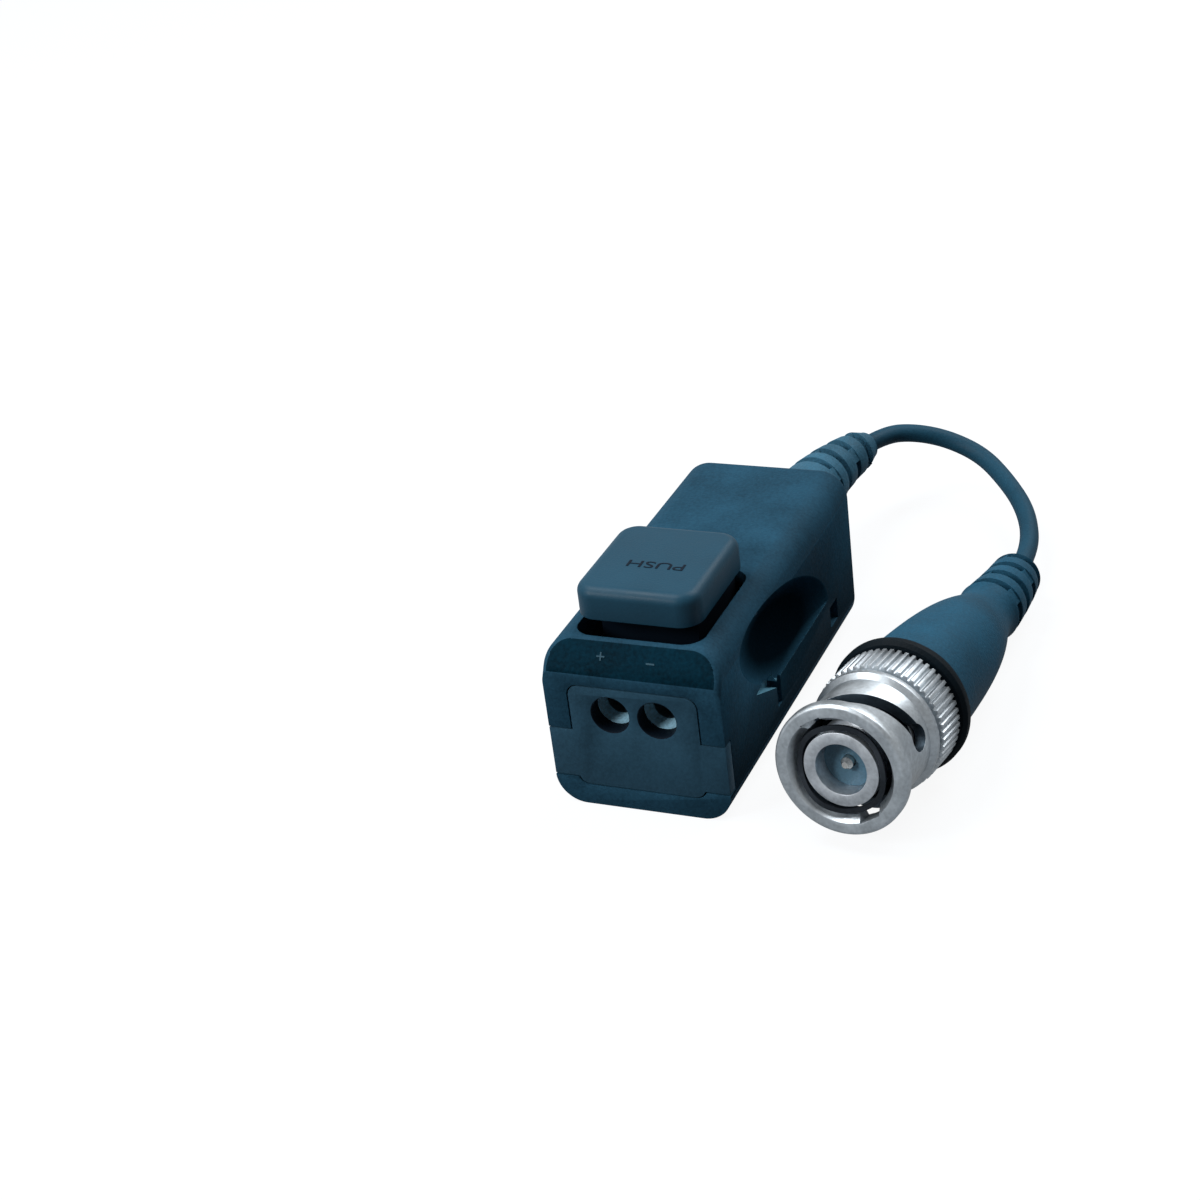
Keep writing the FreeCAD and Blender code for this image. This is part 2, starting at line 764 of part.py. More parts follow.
def transformer_core():
    ring = turned("core_body", [(s.core_inner, 0), (s.core_outer, 0), (s.core_outer, s.core_height),
                                (s.core_inner, s.core_height)])
    round_edges(ring, "core_edges", s.core_lift / 2,
                lambda middle, edge: near(middle.z, 0) or near(middle.z, s.core_height.number))
    return place(ring, 0, core_y, core_bottom)


def winding(name, middle_angle):
    """One winding: a thin skin round the core's section, with a raised turn for each wire."""
    skin, wire = s.winding_skin.number, s.winding_wire.number
    inner, outer, height = s.core_inner.number, s.core_outer.number, s.core_height.number
    axis, base = FreeCAD.Vector(0, 0, 1), FreeCAD.Vector(0, 0, 0)

    def band(growth, start, sweep):
        around = []
        for extra in (growth, s.winding_gap.number):
            ring = Part.makeCylinder(outer + extra, height + 2 * extra, FreeCAD.Vector(0, 0, -extra), axis, sweep)
            ring = ring.cut(Part.makeCylinder(inner - extra, height + 4 * extra, FreeCAD.Vector(0, 0, -2 * extra)))
            ring.rotate(base, axis, start)
            around.append(ring)
        return around[0].cut(around[1])

    spread = s.winding_angle.number
    turns = int(s.winding_turns.number)
    pitch = spread / turns
    turn_angle = math.degrees(wire / outer)
    coil = band(skin, middle_angle - spread / 2, spread)
    ridges = [band(wire, middle_angle - spread / 2 + (number + 0.5) * pitch - turn_angle / 2, turn_angle)
              for number in range(turns)]
    made = feature(name, coil.multiFuse(ridges).removeSplitter())
    return place(made, 0, core_y, core_bottom)


def chip(name, side, from_front, length, width, height):
    x, y = chip_side * side, front + from_front
    return box(name, (x - width / 2, x + width / 2), (y - length / 2, y + length / 2),
               (board_top, board_top + height))


# Strain reliefs: a smooth base, then rings on a core, held by webs that alternate round the axis

def segmented_relief(base_pieces, start, first_radius, last_radius, nose_radius, ring, slot, count, bend,
                     core_radius):
    """Rings and webs along an arc that leaves +Z and leans towards +X; returns the shape and its tip."""
    length = count * (ring + slot)
    turn = math.radians(bend)
    radius = length / turn

    def frame_at(distance):
        angle = distance / radius
        spot = FreeCAD.Vector(radius * (1 - math.cos(angle)), 0, start + radius * math.sin(angle))
        return FreeCAD.Placement(spot, FreeCAD.Rotation(FreeCAD.Vector(0, 1, 0), math.degrees(angle)))

    spots = [frame_at(length * share).Base for share in (0, 0.5, 1)]
    spine = Part.Wire(Part.Arc(*spots).toShape())
    disc = Part.Wire(Part.makeCircle(core_radius, spots[0], FreeCAD.Vector(0, 0, 1)))
    solids = base_pieces + [spine.makePipeShell([disc], True, False)]
    taper = (first_radius - last_radius) / length
    for number in range(count):
        ring_start = number * (ring + slot) + slot
        big = first_radius - taper * ring_start
        small = nose_radius if number == count - 1 else first_radius - taper * (ring_start + ring)
        frustum = Part.makeCone(big, small, ring)
        frustum.Placement = frame_at(ring_start + ring).multiply(
            FreeCAD.Placement(FreeCAD.Vector(0, 0, -ring), FreeCAD.Rotation()))
        web = Part.makeBox(2 * big - 0.4, core_radius, slot + 0.4,
                           FreeCAD.Vector(0.2 - big, -core_radius / 2, -0.2))
        web.rotate(FreeCAD.Vector(0, 0, 0), FreeCAD.Vector(0, 0, 1), s.relief_web_turn.number + 90 * (number % 2))
        web = web.common(Part.makeCylinder(big, slot + 0.4, FreeCAD.Vector(0, 0, -0.2)))
        web.Placement = frame_at(ring_start - slot).multiply(web.Placement)
        solids += [frustum, web]
    whole = solids[0].multiFuse(solids[1:]).removeSplitter()
    return whole.Solids[0], frame_at(length)


def housing_relief():
    root, neck, wall = s.relief_root_radius.number, s.relief_neck_radius, s.rear_wall.number
    flange = Part.makeCylinder(s.relief_flange_radius.number, s.relief_flange.number,
                               FreeCAD.Vector(0, 0, -wall - s.relief_flange.number))
    throat = Part.makeCylinder((neck - s.relief_neck_gap).number, wall + 0.2, FreeCAD.Vector(0, 0, -wall - 0.1))
    base = Part.makeCone(root, s.relief_base_radius.number, s.relief_base.number)
    outside, tip = segmented_relief(
        [base], s.relief_base.number, s.relief_base_radius.number, s.relief_tip_radius.number,
        s.relief_nose_radius.number, s.relief_ring.number, s.relief_slot.number, int(s.relief_rings.number),
        s.relief_bend.number, s.relief_core_radius.number)
    lean = FreeCAD.Placement(FreeCAD.Vector(0, 0, 0), FreeCAD.Rotation(FreeCAD.Vector(0, 1, 0), s.relief_lean.number))
    outside.Placement = lean
    level = Part.makeBox(4 * root, 4 * root, root, FreeCAD.Vector(-2 * root, -2 * root, -root))
    relief = feature("housing_relief_shape", outside.cut(level).multiFuse([flange, throat]).removeSplitter().Solids[0])
    stance = FreeCAD.Placement(FreeCAD.Vector(0, rear.number, s.exit_height.number),
                               FreeCAD.Rotation(FreeCAD.Vector(1, 0, 0), -90))
    relief.Placement = stance
    place(relief, 0, rear, s.exit_height)
    return relief, stance.multiply(lean).multiply(tip)


# The lead's stripped ends, which bend down to the circuit board

relief_inner_end = rear - s.rear_wall - s.relief_flange
board_room = relief_inner_end - (front + s.core_from_front + s.core_outer)
cable_end_length = board_room * s.cable_end_share
jacket_end = relief_inner_end - cable_end_length


def stripped_wire(name, side, radius):
    x, y, z = side.number, jacket_end.number, s.exit_height.number
    bend = s.wire_bend.number
    turn_start = y - (board_room * s.wire_straight_share).number
    spots = [FreeCAD.Vector(x, y, z), FreeCAD.Vector(x, turn_start, z),
             FreeCAD.Vector(x, turn_start - bend * math.sqrt(0.5), z - bend * (1 - math.sqrt(0.5))),
             FreeCAD.Vector(x, turn_start - bend, z - bend), FreeCAD.Vector(x, turn_start - bend, board_top.number)]
    path = Part.Wire([Part.LineSegment(*spots[:2]).toShape(), Part.Arc(*spots[1:4]).toShape(),
                      Part.LineSegment(*spots[3:]).toShape()])
    disc = Part.Wire(Part.makeCircle(radius.number, spots[0], FreeCAD.Vector(0, -1, 0)))
    return feature(name, path.makePipeShell([disc], True, False))


# The plug's axis: its Z runs from the mating end to the lead, its X points to the plug's side

plug_rotation = FreeCAD.Rotation(FreeCAD.Vector(0, 0, 1), -s.plug_turn.number).multiply(
    FreeCAD.Rotation(FreeCAD.Vector(1, 0, 0), s.plug_pitch.number - 90))


def on_plug(thing):
    thing.Placement = FreeCAD.Placement(FreeCAD.Vector(0, 0, 0), plug_rotation)
    return place(thing, s.plug_side, front + s.plug_front, s.plug_axis_height)


sleeve_end = s.sleeve_start + s.sleeve_length
stop_end = sleeve_end + s.stop_length
wave_start = stop_end + s.nut_float + 0.05
thrust_start = wave_start + s.wave_height
flange_start = thrust_start + s.thrust_thickness
flange_end = flange_start + s.nut_inner_flange
ring_start = flange_end + s.ring_side_gap
plug_neck_end = s.nut_length + s.boot_gap


def coupling_nut():
    blank = turned("nut_blank", [
        (s.nut_funnel, 0), (s.nut_radius - s.rim_round, 0, s.rim_round), (s.nut_radius, s.rim_round),
        (s.nut_radius, s.rim_length - s.rim_round / 2), (s.nut_radius - s.rim_round / 2, s.rim_length),
        (s.barrel_radius, s.rim_length), (s.barrel_radius, s.barrel_end), (s.collar_radius, s.barrel_end + 0.4),
        (s.collar_radius, s.collar_end), (s.groove_radius, s.collar_end), (s.groove_radius, s.groove_end),
        (s.groove_radius, s.nut_length), (s.nut_counterbore, s.nut_length), (s.nut_counterbore, flange_end),
        (s.barrel_neck_radius + s.nut_running_gap, flange_end),
        (s.barrel_neck_radius + s.nut_running_gap, flange_start), (s.nut_bore, flange_start),
        (s.nut_bore, s.nut_funnel_depth)])
    cutters = []
    height = (s.cam_end - s.cam_start).number
    inside, outside = (s.nut_bore - 0.4).number, (s.nut_radius + 0.5).number
    half = s.cam_width.number / 2
    for number in range(2):
        helix = Part.makeHelix(height * 360 / s.cam_sweep.number, height, s.barrel_radius.number)
        profile = Part.makePolygon([FreeCAD.Vector(inside, 0, -half), FreeCAD.Vector(outside, 0, -half),
                                    FreeCAD.Vector(outside, 0, half), FreeCAD.Vector(inside, 0, half),
                                    FreeCAD.Vector(inside, 0, -half)])
        path = Part.Wire(helix.Edges).makePipeShell([profile], True, True)
        path.translate(FreeCAD.Vector(0, 0, s.cam_start.number))
        ends = []
        for angle, level, radius in ((0, s.cam_start.number, half),
                                     (s.cam_sweep.number, s.cam_end.number, s.cam_hole_radius.number)):
            drill = Part.makeCylinder(radius, outside - inside, FreeCAD.Vector(inside, 0, level),
                                      FreeCAD.Vector(1, 0, 0))
            drill.rotate(FreeCAD.Vector(0, 0, 0), FreeCAD.Vector(0, 0, 1), angle)
            ends.append(drill)
        width = s.cam_channel_width.number
        channel = Part.makeBox(s.cam_channel_radius.number, width, s.cam_start.number + 0.01,
                               FreeCAD.Vector(0, -width / 2, 0))
        slot = path.multiFuse(ends + [channel])
        slot.rotate(FreeCAD.Vector(0, 0, 0), FreeCAD.Vector(0, 0, 1), 180 * number + s.cam_turn.number)
        cutters.append(feature("cam_slot_%d" % number, slot))
    slotted = cut("nut_slotted", blank, *cutters)

    ribs = int(s.knurl_ribs.number)
    crest, root = s.knurl_radius.number, (s.knurl_radius - s.knurl_depth).number
    corners = []
    for number in range(ribs):
        for share, radius in ((0.0, crest), (0.45, crest), (0.62, root), (0.83, root)):
            angle = 2 * math.pi * (number + share) / ribs
            corners.append(FreeCAD.Vector(radius * math.cos(angle), radius * math.sin(angle), 0))
    outline = Part.Face(Part.makePolygon(corners + corners[:1]))
    length = (s.nut_length - s.groove_end).number
    grip = outline.extrude(FreeCAD.Vector(0, 0, length)).cut(
        Part.makeCylinder((s.groove_radius - 0.1).number, length))
    grip.translate(FreeCAD.Vector(0, 0, s.groove_end.number))
    return on_plug(fuse("nut_knurled", slotted, feature("knurl", grip)))


def plug_body():
    neck, groove = s.barrel_neck_radius, s.ring_groove_radius
    stub_end = plug_neck_end + s.crimp_stub_length
    return on_plug(turned("plug_turning", [
        (s.sleeve_bore, s.sleeve_start), (s.sleeve_radius, s.sleeve_start), (s.sleeve_radius, sleeve_end),
        (s.stop_radius, sleeve_end), (s.stop_radius, stop_end), (neck, stop_end),
        (neck, ring_start), (groove, ring_start), (groove, ring_start + s.ring_thickness),
        (neck, ring_start + s.ring_thickness), (neck, plug_neck_end), (s.crimp_stub_radius, plug_neck_end),
        (s.crimp_stub_radius, stub_end), (s.crimp_stub_bore, stub_end), (s.crimp_stub_bore, plug_neck_end - s.sleeve_wall),
        (s.sleeve_bore, plug_neck_end - s.sleeve_wall)]))


def wave_washer():
    """A thin ring whose height rises and falls three times round."""
    rise = (s.wave_height - s.wave_thickness).number
    loops = []
    for radius in (s.washer_inner.number, s.washer_outer.number):
        points = [FreeCAD.Vector(radius * math.cos(step * math.pi / 18), radius * math.sin(step * math.pi / 18),
                                 rise * (1 - math.cos(step * math.pi / 6)) / 2) for step in range(36)]
        curve = Part.BSplineCurve()
        curve.interpolate(Points=points, PeriodicFlag=True)
        loops.append(curve.toShape())
    ring = Part.makeRuledSurface(*loops).extrude(FreeCAD.Vector(0, 0, s.wave_thickness.number))
    ring.translate(FreeCAD.Vector(0, 0, wave_start.number))
    return on_plug(feature("wave_ring", ring))


def ring_piece(name, inner, outer, start, thickness):
    return on_plug(turned(name, [(inner, start), (outer, start), (outer, start + thickness),
                                 (inner, start + thickness)]))


def plug_boot():
    start = plug_neck_end.number
    lip, groove = s.boot_lip.number, s.boot_lip_groove.number
    shoulder = start + s.boot_shoulder.number
    wide, narrow = s.boot_radius.number, s.boot_shoulder_radius.number
    base, tip_radius = s.boot_base_radius.number, s.boot_tip_radius.number
    ferrule_end = (plug_neck_end + s.crimp_stub_length).number
    bore = s.boot_bore.number
    flare = s.boot_flare.number
    corners = [(bore, start), (wide - 0.4, start), (wide, start + 0.4), (wide, start + lip),
               (s.boot_root_radius.number, start + lip),
               (s.boot_root_radius.number, start + lip + groove)]
    edges = [Part.LineSegment(FreeCAD.Vector(a[0], 0, a[1]), FreeCAD.Vector(b[0], 0, b[1]))
             for a, b in zip(corners, corners[1:])]
    profile = Part.BSplineCurve()
    nose = [FreeCAD.Vector(radius, 0, height) for radius, height in (
        (s.boot_root_radius.number, corners[-1][1]), (s.boot_belly_radius.number, start + s.boot_belly.number),
        (s.boot_hip_radius.number, start + s.boot_hip.number), (s.boot_fall_radius.number, start + s.boot_fall.number),
        (narrow, shoulder), (base, shoulder + flare))]
    profile.interpolate(Points=nose)
    close = [FreeCAD.Vector(base, 0, shoulder + flare), FreeCAD.Vector(0, 0, shoulder + flare),
             FreeCAD.Vector(0, 0, ferrule_end), FreeCAD.Vector(bore, 0, ferrule_end), FreeCAD.Vector(bore, 0, start)]
    edges.append(profile)
    edges += [Part.LineSegment(a, b) for a, b in zip(close, close[1:])]
    face = Part.Face(Part.Wire([edge.toShape() for edge in edges]))
    bulb = face.revolve(FreeCAD.Vector(0, 0, 0), FreeCAD.Vector(0, 0, 1), 360)
    shape, tip = segmented_relief(
        [bulb], shoulder + flare, base, tip_radius, s.relief_nose_radius.number, s.boot_ring.number,
        s.boot_slot.number, int(s.boot_rings.number), s.boot_bend.number, s.relief_core_radius.number)
    boot = on_plug(feature("boot_shape", shape))
    stance = FreeCAD.Placement(FreeCAD.Vector(s.plug_side.number, (front + s.plug_front).number,
                                              s.plug_axis_height.number), plug_rotation)
    return boot, stance.multiply(tip)


# Coaxial lead: straight runs joined by tangent arcs, each arc as large as its two runs allow

def lead(start, end):
    exit_way = start.Rotation.multVec(FreeCAD.Vector(0, 0, 1))
    entry_way = end.Rotation.multVec(FreeCAD.Vector(0, 0, 1))
    route = [start.Base, start.Base + exit_way * s.lead_exit_run.number]
    route += [FreeCAD.Vector(*spot) for spot in LEAD_ROUTE]
    route += [end.Base + entry_way * s.lead_entry_run.number, end.Base]
    edges, corner_end, radii = [], route[0], []
    for before, corner, after in zip(route, route[1:], route[2:]):
        run_in, run_out = corner - before, after - corner
        half_turn = run_in.getAngle(run_out) / 2
        reach = 0.45 * min(run_in.Length, run_out.Length)
        radii.append(round(reach / math.tan(half_turn), 1))
        way_in, way_out = run_in.normalize(), run_out.normalize()
        first, last = corner - way_in * reach, corner + way_out * reach
        across = (way_out - way_in).normalize()
        middle = corner + across * (radii[-1] / math.cos(half_turn) - radii[-1])
        edges.append(Part.LineSegment(corner_end, first).toShape())
        edges.append(Part.Arc(first, middle, last).toShape())
        corner_end = last
    edges.append(Part.LineSegment(corner_end, route[-1]).toShape())
    path = Part.Wire(edges)
    disc = Part.Wire(Part.makeCircle(s.cable_radius.number, route[0], exit_way))
    tube = path.makePipeShell([disc], True, False)
    section = math.pi * s.cable_radius.number ** 2
    print("lead route", [tuple(round(value, 2) for value in spot) for spot in route])
    print("lead radii", radii, "length", round(path.Length, 2),
          "volume over section and length", round(tube.Volume / section / path.Length, 4))
    return feature("lead_tube", tube)


# Assembly

node("housing_shell", housing_shell())
node("front_panel", front_panel())
node("terminal_block", terminal_block())
node("push_button", push_button())
node("contact_left", wire_contact(-1, "left"))
node("contact_right", wire_contact(1, "right"))
node("return_spring", return_spring())
node("circuit_board", circuit_board())
node("transformer_core", transformer_core())
node("primary_winding", winding("primary_coil", 0.0))
node("secondary_winding", winding("secondary_coil", 180.0))
node("surge_suppressor", chip("suppressor_body", -1, s.chip_row, s.suppressor_length,
                              s.suppressor_width, s.suppressor_height))
node("chip_resistor", chip("resistor_body", 1, s.chip_row, s.resistor_length,
                           s.resistor_width, s.resistor_height))
relief, relief_tip = housing_relief()
node("housing_relief", relief)

node("cable_end", rod("jacket_end", s.cable_radius, (0, jacket_end, s.exit_height), cable_end_length, "y"))
node("core_wire", stripped_wire("core_strand", s.core_wire_side, s.core_wire_radius))
node("shield_wire", stripped_wire("shield_strand", s.shield_wire_side, s.shield_wire_radius))
node("coupling_nut", coupling_nut())
node("plug_body", plug_body())
node("wave_washer", wave_washer())
node("thrust_washer", ring_piece("thrust_ring", s.barrel_neck_radius + s.nut_running_gap, s.washer_outer,
                                 thrust_start, s.thrust_thickness))
node("retaining_ring", ring_piece("snap_ring", s.ring_groove_radius, s.ring_outer, ring_start, s.ring_thickness))
node("gasket", ring_piece("gasket_ring", s.sleeve_radius, s.stop_radius, sleeve_end - s.gasket_thickness,
                          s.gasket_thickness))
node("insulator", ring_piece("insulator_body", s.insulator_bore, s.sleeve_bore, s.insulator_start,
                             plug_neck_end - 2 - s.insulator_start))
node("centre_pin", on_plug(turned("pin_body", [
    (0, s.pin_start), (s.pin_radius / 2, s.pin_start), (s.pin_radius, s.pin_start + 0.5),
    (s.pin_radius, plug_neck_end), (0, plug_neck_end)])))
node("crimp_ferrule", ring_piece("ferrule_tube", s.crimp_stub_radius, s.crimp_stub_radius + s.ferrule_wall,
                                 plug_neck_end, s.crimp_stub_length))
boot, boot_tip = plug_boot()
node("plug_boot", boot)
node("cable", lead(relief_tip, boot_tip))

doc.recompute()

faults = ["%s is %s" % (thing.Label, ", ".join(thing.State)) for thing in doc.Objects
          if {"Invalid", "Error"} & set(thing.State)]
faults += ["%s has no valid shape" % thing.Label for thing in nodes
           if thing.Shape.isNull() or not thing.Shape.isValid()]
if faults:
    raise RuntimeError("; ".join(faults))

os.makedirs("parts", exist_ok=True)
for thing in nodes:
    thing.Shape.exportStep("parts/%s.step" % thing.Label)
    print("%-18s %2d solid(s) %9.2f mm3" % (thing.Label, len(thing.Shape.Solids), thing.Shape.Volume))
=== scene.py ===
# %% [markdown]
# # A passive video balun, dressed around its CAD frame
#
# A balun joins a coaxial camera lead to a twisted pair. This one is a dark plastic housing with
# a push button that frees two wire clamps, and a short lead that ends in a bayonet plug. The CAD
# frame gives every piece its place, so each cell below only adds what the solids cannot show.

import bpy
import json
import math
from mathutils import Matrix, Vector


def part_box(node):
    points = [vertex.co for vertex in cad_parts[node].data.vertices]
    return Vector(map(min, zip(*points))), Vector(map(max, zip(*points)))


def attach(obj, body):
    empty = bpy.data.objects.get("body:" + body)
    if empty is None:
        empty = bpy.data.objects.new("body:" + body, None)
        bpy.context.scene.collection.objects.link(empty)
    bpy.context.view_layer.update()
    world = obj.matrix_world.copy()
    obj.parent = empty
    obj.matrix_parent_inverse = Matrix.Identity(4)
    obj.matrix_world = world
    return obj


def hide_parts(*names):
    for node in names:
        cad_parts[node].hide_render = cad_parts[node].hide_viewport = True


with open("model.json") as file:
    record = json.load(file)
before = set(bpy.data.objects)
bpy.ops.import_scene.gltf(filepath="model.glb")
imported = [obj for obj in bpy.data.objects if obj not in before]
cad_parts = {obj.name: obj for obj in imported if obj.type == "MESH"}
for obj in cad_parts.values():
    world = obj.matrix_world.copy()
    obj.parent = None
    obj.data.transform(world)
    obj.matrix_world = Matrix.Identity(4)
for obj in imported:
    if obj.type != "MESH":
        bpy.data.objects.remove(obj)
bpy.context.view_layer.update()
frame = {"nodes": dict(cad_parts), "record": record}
nodes = frame["nodes"]
MM = 0.001

# %% [markdown]
# ## The camera
#
# The camera was solved from the housing's edges and the plug's circles. It looks down at the
# front of the housing from its right, a little rolled, through a long lens. Building its matrix
# from an azimuth, a height and a roll keeps those numbers readable.

# %% Camera
CAMERA_AZIMUTH, CAMERA_HEIGHT, CAMERA_ROLL = (math.radians(angle) for angle in (26.57, 28.565, -7.751))
CAMERA_TARGET = Vector((-11.98, -2.25, 13.34)) * MM
CAMERA_DISTANCE = 260.2 * MM

away = Vector((math.sin(CAMERA_AZIMUTH) * math.cos(CAMERA_HEIGHT),
               -math.cos(CAMERA_AZIMUTH) * math.cos(CAMERA_HEIGHT), math.sin(CAMERA_HEIGHT)))
level_right = Vector((math.cos(CAMERA_AZIMUTH), math.sin(CAMERA_AZIMUTH), 0))
level_up = away.cross(level_right)
right = level_right * math.cos(CAMERA_ROLL) + level_up * math.sin(CAMERA_ROLL)
up = level_up * math.cos(CAMERA_ROLL) - level_right * math.sin(CAMERA_ROLL)

bpy.ops.object.camera_add()
camera = bpy.context.object
camera.name = "camera"
camera.matrix_world = (Matrix.Translation(CAMERA_TARGET + away * CAMERA_DISTANCE)
                       @ Matrix((right, up, away)).transposed().to_4x4())
camera.data.sensor_width = 36
camera.data.lens = 69.4
camera.data.clip_start = 0.01
bpy.context.scene.camera = camera
bpy.context.scene.view_settings.view_transform = "Standard"
print("camera at", [round(v, 4) for v in camera.location])

# %% [markdown]
# ## Small helpers
#
# An operator acts on everything that is selected, so each step starts by selecting one object.
# New pieces end with their place in their mesh, as the CAD nodes have it.


# %% Helpers for selecting and finishing
def pick(thing):
    """Selects one object alone and makes it the active one."""
    bpy.ops.object.select_all(action="DESELECT")
    thing.select_set(True)
    bpy.context.view_layer.objects.active = thing
    return thing


def settle(thing, body, slot, material, *stood_for):
    """Puts a piece's place in its mesh, gives it its finish and lets it ride."""
    pick(thing)
    if thing.type == "MESH":
        thing.data.transform(thing.matrix_world)
        thing.matrix_world = Matrix.Identity(4)
    thing.data.materials.clear()
    thing.data.materials.append(material)
    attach(thing, body)
    if stood_for:
        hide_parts(*stood_for)
    return thing


# %% [markdown]
# ## Shader helpers
#
# A material here is a small chain of nodes, and the same few links come back in each. These
# helpers make one node, feed it with numbers or with other nodes' results, and give its own.


# %% Helpers for shader nodes
def feed(link, place, value):
    """Links a result to an input, or writes a number or a vector into it."""
    if isinstance(value, bpy.types.NodeSocket):
        link(value, place)
    else:
        place.default_value = value


def arithmetic(made, link, operation, *values):
    node = made.new("ShaderNodeMath")
    node.operation = operation
    for place, value in zip(node.inputs, values):
        feed(link, place, value)
    return node.outputs[0]


def remapped(made, link, value, low, high, start=0.3, end=0.7):
    """A value that runs from start to end, moved to run from low to high and held there."""
    node = made.new("ShaderNodeMapRange")
    for label, limit in (("From Min", start), ("From Max", end), ("To Min", low), ("To Max", high)):
        feed(link, node.inputs[label], limit)
    link(value, node.inputs["Value"])
    return node.outputs[0]


def place_in_object(made):
    return made.new("ShaderNodeTexCoord").outputs["Object"]


def reach_along(made, link, axis):
    """How far a place lies along an axis, in metres."""
    node = made.new("ShaderNodeVectorMath")
    node.operation = "DOT_PRODUCT"
    link(place_in_object(made), node.inputs[0])
    feed(link, node.inputs[1], axis)
    return node.outputs["Value"]


def noise(made, link, place, scale, detail, roughness=0.5, dimensions="3D"):
    node = made.new("ShaderNodeTexNoise")
    node.noise_dimensions = dimensions
    node.inputs["Detail"].default_value = detail
    node.inputs["Roughness"].default_value = roughness
    feed(link, node.inputs["Scale"], scale)
    link(place, node.inputs["W" if dimensions == "1D" else "Vector"])
    return node.outputs["Fac"]


def bumped(made, link, height, strength, distance):
    node = made.new("ShaderNodeBump")
    node.inputs["Distance"].default_value = distance
    feed(link, node.inputs["Strength"], strength)
    link(height, node.inputs["Height"])
    return node.outputs["Normal"]


# %% [markdown]
# ## Shader groups
#
# Moulded plastic and rubber are never one flat colour: the tool leaves a fine grain, and the
# resin is a little lighter and darker in patches. Turned metal has hair lines round its axis.
# Each effect is one node group, so every material can ask for its own size and strength.
# Sizes and spacings are in millimetres, and a noise texture's scale counts its cells per metre.


# %% Groups: a fine moulded grain, and hair lines round a turned axis
def new_group(name, inputs, outputs):
    group = bpy.data.node_groups.new(name, "ShaderNodeTree")
    for label, kind, value in inputs:
        socket = group.interface.new_socket(name=label, in_out="INPUT", socket_type=kind)
        if value is not None:
            socket.default_value = value
    for label, kind in outputs:
        group.interface.new_socket(name=label, in_out="OUTPUT", socket_type=kind)
    made = group.nodes
    given, result = made.new("NodeGroupInput").outputs, made.new("NodeGroupOutput").inputs
    return group, given, result, made, group.links.new


def grain_group():
    group, given, result, made, link = new_group(
        "moulded_grain",
        [("Size", "NodeSocketFloat", 0.2), ("Height", "NodeSocketFloat", 0.1),
         ("Patches", "NodeSocketFloat", 0.2)],
        [("Tone", "NodeSocketFloat"), ("Normal", "NodeSocketVector"), ("Polish", "NodeSocketFloat")])
    place = place_in_object(made)
    per_metre = arithmetic(made, link, "DIVIDE", 1 / MM, given["Size"])
    pits = noise(made, link, place, per_metre, detail=3, roughness=0.6)
    patches = noise(made, link, place, 160, detail=5)
    patch_share = arithmetic(made, link, "MULTIPLY", patches, 0.55)
    mixed = arithmetic(made, link, "MULTIPLY_ADD", pits, 0.45, patch_share)
    darkest = arithmetic(made, link, "SUBTRACT", 1.0, given["Patches"])
    lightest = arithmetic(made, link, "ADD", 1.0, given["Patches"])
    link(remapped(made, link, mixed, darkest, lightest), result["Tone"])
    link(bumped(made, link, pits, given["Height"], 0.1 * MM), result["Normal"])
    link(patches, result["Polish"])
    return group


def turned_group():
    group, given, result, made, link = new_group(
        "turned_lines",
        [("Along", "NodeSocketVector", None), ("Spacing", "NodeSocketFloat", 0.05),
         ("Height", "NodeSocketFloat", 0.1)],
        [("Shade", "NodeSocketFloat"), ("Normal", "NodeSocketVector"), ("Polish", "NodeSocketFloat")])
    place = place_in_object(made)
    per_metre = arithmetic(made, link, "DIVIDE", 1 / MM, given["Spacing"])
    lines = noise(made, link, reach_along(made, link, given["Along"]), per_metre, detail=2, dimensions="1D")
    smudge = noise(made, link, place, 320, detail=4)
    speckle = noise(made, link, place, 2400, detail=2)
    both = arithmetic(made, link, "ADD", smudge, speckle)
    shade = arithmetic(made, link, "MULTIPLY", both, 0.5)
    link(remapped(made, link, shade, 0.72, 1.18), result["Shade"])
    link(bumped(made, link, lines, given["Height"], 0.03 * MM), result["Normal"])
    link(smudge, result["Polish"])
    return group


grain = grain_group()
turned_lines = turned_group()
print("groups", [g.name for g in bpy.data.node_groups])

# %% [markdown]
# ## Materials
#
# The housing is a near-black resin with a cold blue cast and a matt grain, the rubber has the
# same cast, and the plug is nickel, duller inside and painted dark there as painted shade. The
# colours are given as linear values. A finish can also be darker before a place along an axis, as painted shade
# on faces that lie in shade.

# %% Material makers
ROUGHNESS_WANDERS = 0.06


def start_material(name, colour, rough, metallic=0.0, specular=0.5, coat=0.0):
    material = bpy.data.materials.new(name)
    material.use_nodes = True
    shader = material.node_tree.nodes["Principled BSDF"].inputs
    shader["Base Color"].default_value = (*colour, 1)
    shader["Roughness"].default_value = rough
    shader["Metallic"].default_value = metallic
    shader["Specular IOR Level"].default_value = specular
    shader["Coat Weight"].default_value = coat
    return material, shader, material.node_tree.nodes, material.node_tree.links.new


def tinted(made, link, colour, factor):
    tint = made.new("ShaderNodeVectorMath")
    tint.operation = "SCALE"
    tint.inputs[0].default_value = colour
    link(factor, tint.inputs["Scale"])
    return tint.outputs[0]


def past(made, link, along, start, span=0.1 * MM, low=0.06, mirrored=False):
    """A factor that climbs from low to 1 over a span along an axis, or along both its ways."""
    reach = reach_along(made, link, along)
    if mirrored:
        reach = arithmetic(made, link, "ABSOLUTE", reach)
    return remapped(made, link, reach, low, 1.0, start, start + span)


def surface_effect(made, group, **settings):
    """A group's node with its settings, which gives its outputs."""
    effect = made.new("ShaderNodeGroup")
    effect.node_tree = group
    for label, value in settings.items():
        effect.inputs[label].default_value = value
    return effect.outputs


